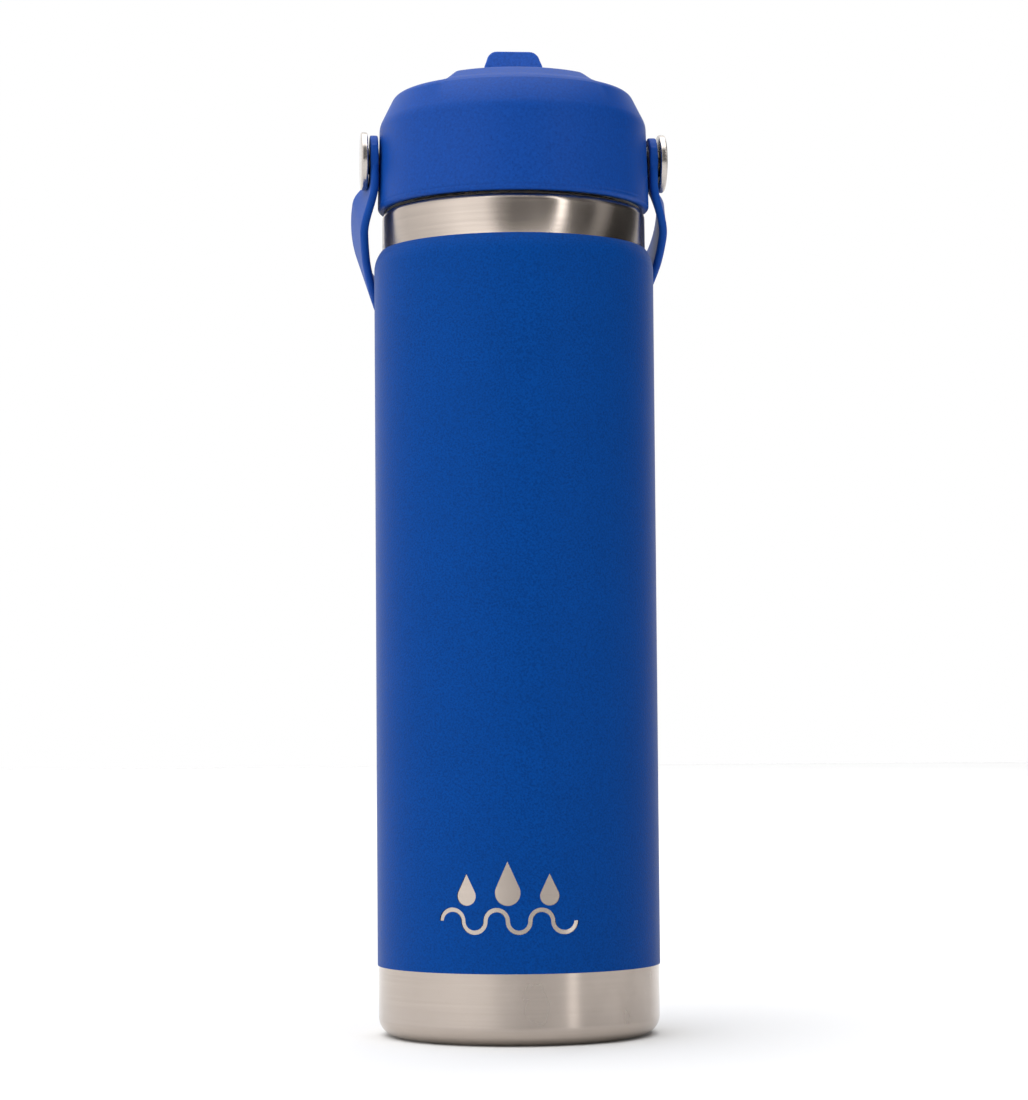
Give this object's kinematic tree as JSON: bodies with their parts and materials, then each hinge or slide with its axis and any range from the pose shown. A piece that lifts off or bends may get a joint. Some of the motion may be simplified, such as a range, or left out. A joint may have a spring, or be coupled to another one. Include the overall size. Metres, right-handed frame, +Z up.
{
  "type": "kids water bottle",
  "caption": "Insulated steel water bottle with a blue powder coat, a screw-on domed lid, a flip spout with a thumb tab, a drinking straw and a soft carry strap on steel studs.",
  "frame": {"origin": "centre of the flat base, on the surface that the bottle stands on", "axes": "+Z up along the bottle's axis, -Y toward the front that carries the etched mark, +X toward the right-hand stud"},
  "size_m": [0.0838, 0.095, 0.2558],
  "materials": {
    "bare_steel": "brushed round the bottle, satin",
    "blue_coat": "matte powder coat with a fine orange-peel grain",
    "blue_plastic": "moulded, fine matte texture",
    "blue_silicone": "matte soft-touch",
    "white_plastic": "moulded",
    "straw_plastic": "smooth, slightly milky",
    "clear_silicone": "translucent white, satin",
    "polished_steel": "polished",
    "brass": "machined",
    "seal_glass": "fused solder glass",
    "getter_metal": "dull"
  },
  "bodies": {
    "bottle": {"outer_wall": "bare_steel", "inner_wall": "bare_steel", "base_cap": "bare_steel", "vacuum_seal": "seal_glass", "getter": "getter_metal", "powder_coat": "blue_coat"},
    "lid_lift": {"mouth_gasket": "clear_silicone"},
    "lid": {"lid_shell": "blue_plastic", "lid_liner": "white_plastic", "spout_cradle": "blue_plastic", "spout_seal": "clear_silicone", "hinge_pin_left": "polished_steel", "hinge_pin_right": "polished_steel", "cradle_gasket": "clear_silicone", "vent_valve": "clear_silicone", "straw_sleeve": "clear_silicone", "straw": "straw_plastic", "insert_left": "brass", "insert_right": "brass", "stud_left": "polished_steel", "stud_right": "polished_steel"},
    "spout": {"flip_spout": "blue_plastic", "mouthpiece": "blue_silicone"},
    "strap": {"strap_handle": "blue_silicone", "grommet_left": "white_plastic", "grommet_right": "white_plastic"}
  },
  "joints": [
    {"name": "lid_rise", "type": "slide", "parent": "bottle", "child": "lid_lift", "axis": [0, 0, 1], "range_m": [0, 0.00601]},
    {"name": "lid_turn", "type": "hinge", "parent": "lid_lift", "child": "lid", "pos_m": [0, 0, 0.22], "axis": [0, 0, 1], "range_deg": [0, 540]},
    {"name": "spout_flip", "type": "hinge", "parent": "lid", "child": "spout", "pos_m": [0, -0.003, 0.2433], "axis": [1, 0, 0], "range_deg": [0, 90]},
    {"name": "strap_swing", "type": "hinge", "parent": "lid", "child": "strap", "pos_m": [0, 0, 0.22695], "axis": [1, 0, 0], "range_deg": [0, 260]}
  ],
  "couplings": [
    {"joint": "lid_rise", "follows": "lid_turn", "m_per_rad": 0.00063662}
  ]
}
